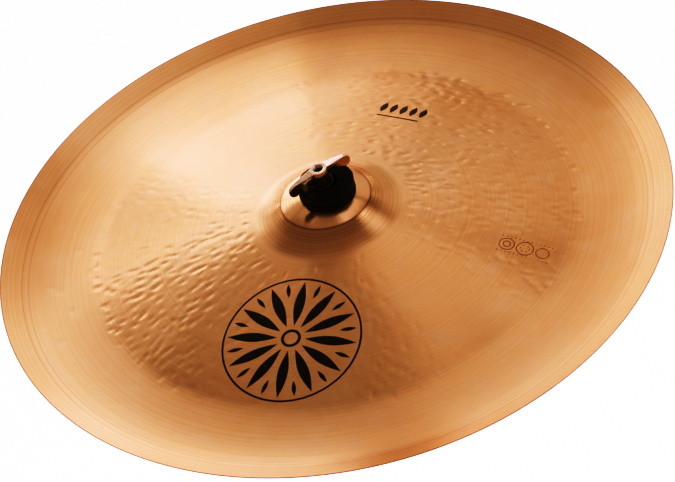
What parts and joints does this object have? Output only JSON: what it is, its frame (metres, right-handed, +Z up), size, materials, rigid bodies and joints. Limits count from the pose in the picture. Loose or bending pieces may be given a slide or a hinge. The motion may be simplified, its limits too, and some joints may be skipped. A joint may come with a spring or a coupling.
{
  "type": "china cymbal",
  "caption": "Bronze cymbal with a flat bell and an upturned lip, held between felts on a threaded post under a wing nut.",
  "frame": {"origin": "centre of the flat foot of the post", "axes": "+Z up along the post, through the centre of the cymbal; +X is the axis that the cymbal rocks about"},
  "size_m": [0.4316, 0.4318, 0.0714],
  "materials": {
    "bronze": "lathed and hammered cast bronze, clear",
    "nickel": "worn nickel plate on cast metal",
    "steel": "zinc plated steel",
    "black_felt": "pressed wool felt",
    "black_nylon": "moulded nylon"
  },
  "bodies": {
    "post": {"cymbal_post": "steel", "seat_nut": "steel", "seat_washer": "steel"},
    "swivel": {"post_sleeve": "black_nylon", "seat_felt": "black_felt", "bell_felt": "black_felt", "nut_felt": "black_felt"},
    "cymbal": {"cymbal_plate": "bronze"},
    "nut_washer": {"nut_washer": "black_nylon"},
    "wing_nut": {"wing_nut": "nickel"}
  },
  "joints": [
    {"name": "cymbal_spin", "type": "hinge", "parent": "post", "child": "swivel", "pos_m": [0, 0, 0.0508], "axis": [0, 0, 1], "continuous": true},
    {"name": "cymbal_rock", "type": "hinge", "parent": "swivel", "child": "cymbal", "pos_m": [0, 0, 0.0508], "axis": [1, 0, 0], "range_deg": [-12, 12], "stiffness_Nm_per_rad": 1.2, "deforming": ["seat_felt", "bell_felt", "nut_felt"]},
    {"name": "wing_nut_turn", "type": "hinge", "parent": "post", "child": "nut_washer", "pos_m": [0, 0, 0.0603], "axis": [0, 0, 1], "range_deg": [0, 2160]},
    {"name": "wing_nut_rise", "type": "slide", "parent": "nut_washer", "child": "wing_nut", "axis": [0, 0, 1], "range_m": [0, 0.006]}
  ],
  "couplings": [
    {"joint": "wing_nut_rise", "follows": "wing_nut_turn", "m_per_rad": 0.00015915}
  ]
}
